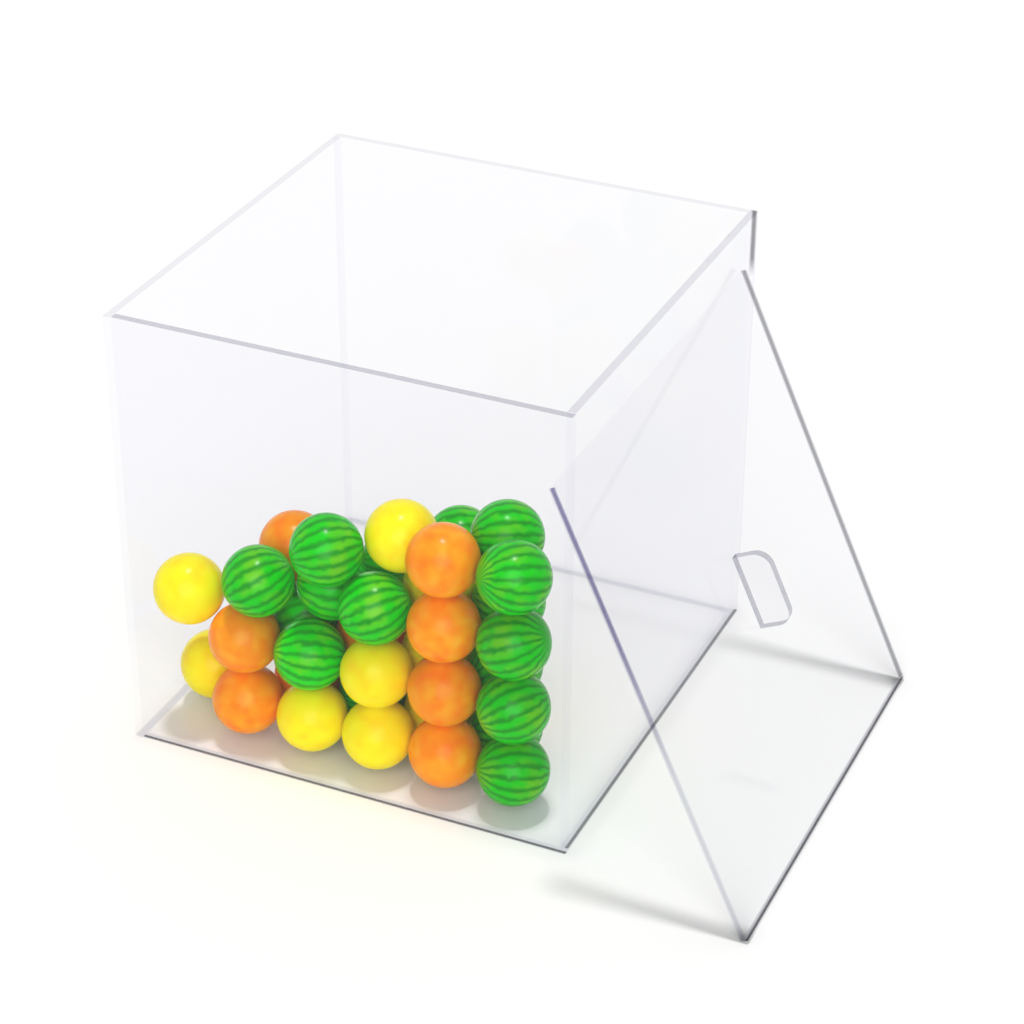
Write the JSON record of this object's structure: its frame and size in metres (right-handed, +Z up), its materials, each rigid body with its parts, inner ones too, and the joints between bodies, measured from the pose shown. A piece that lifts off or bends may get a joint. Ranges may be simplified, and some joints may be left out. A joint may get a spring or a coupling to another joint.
{
  "type": "candy bin",
  "caption": "Open-topped clear acrylic cube bin holding gumballs, with a loose flat square lid that has a finger tab and leans on the right wall.",
  "frame": {"origin": "centre of the bin's underside, in the plane that the bin stands on", "axes": "+X to the right, towards the wall that the lid leans on, +Y from the front wall to the back wall, +Z up"},
  "size_m": [0.2183, 0.1694, 0.1524],
  "materials": {
    "clear_acrylic": "clear cast acrylic sheet with polished edges",
    "lid_acrylic": "clear cast acrylic sheet with polished edges",
    "lemon_candy": "polished yellow sugar shell",
    "orange_candy": "polished orange sugar shell",
    "melon_candy": "polished green sugar shell with darker stripes"
  },
  "bodies": {
    "bin": {"base_panel": "clear_acrylic", "front_wall": "clear_acrylic", "right_wall": "clear_acrylic", "back_wall": "clear_acrylic", "left_wall": "clear_acrylic"},
    "lid": {"lid_panel": "lid_acrylic", "finger_tab": "lid_acrylic"},
    "candy": {"lemon_gumballs": "lemon_candy", "orange_gumballs": "orange_candy", "melon_gumballs": "melon_candy"}
  },
  "joints": [
    {"name": "lid_lift", "type": "slide", "parent": "bin", "child": "lid", "axis": [0.91, 0, 0.4147], "range_m": [0, 0.15]},
    {"name": "candy_lift", "type": "slide", "parent": "bin", "child": "candy", "axis": [0, 0, 1], "range_m": [0, 0.16]}
  ]
}
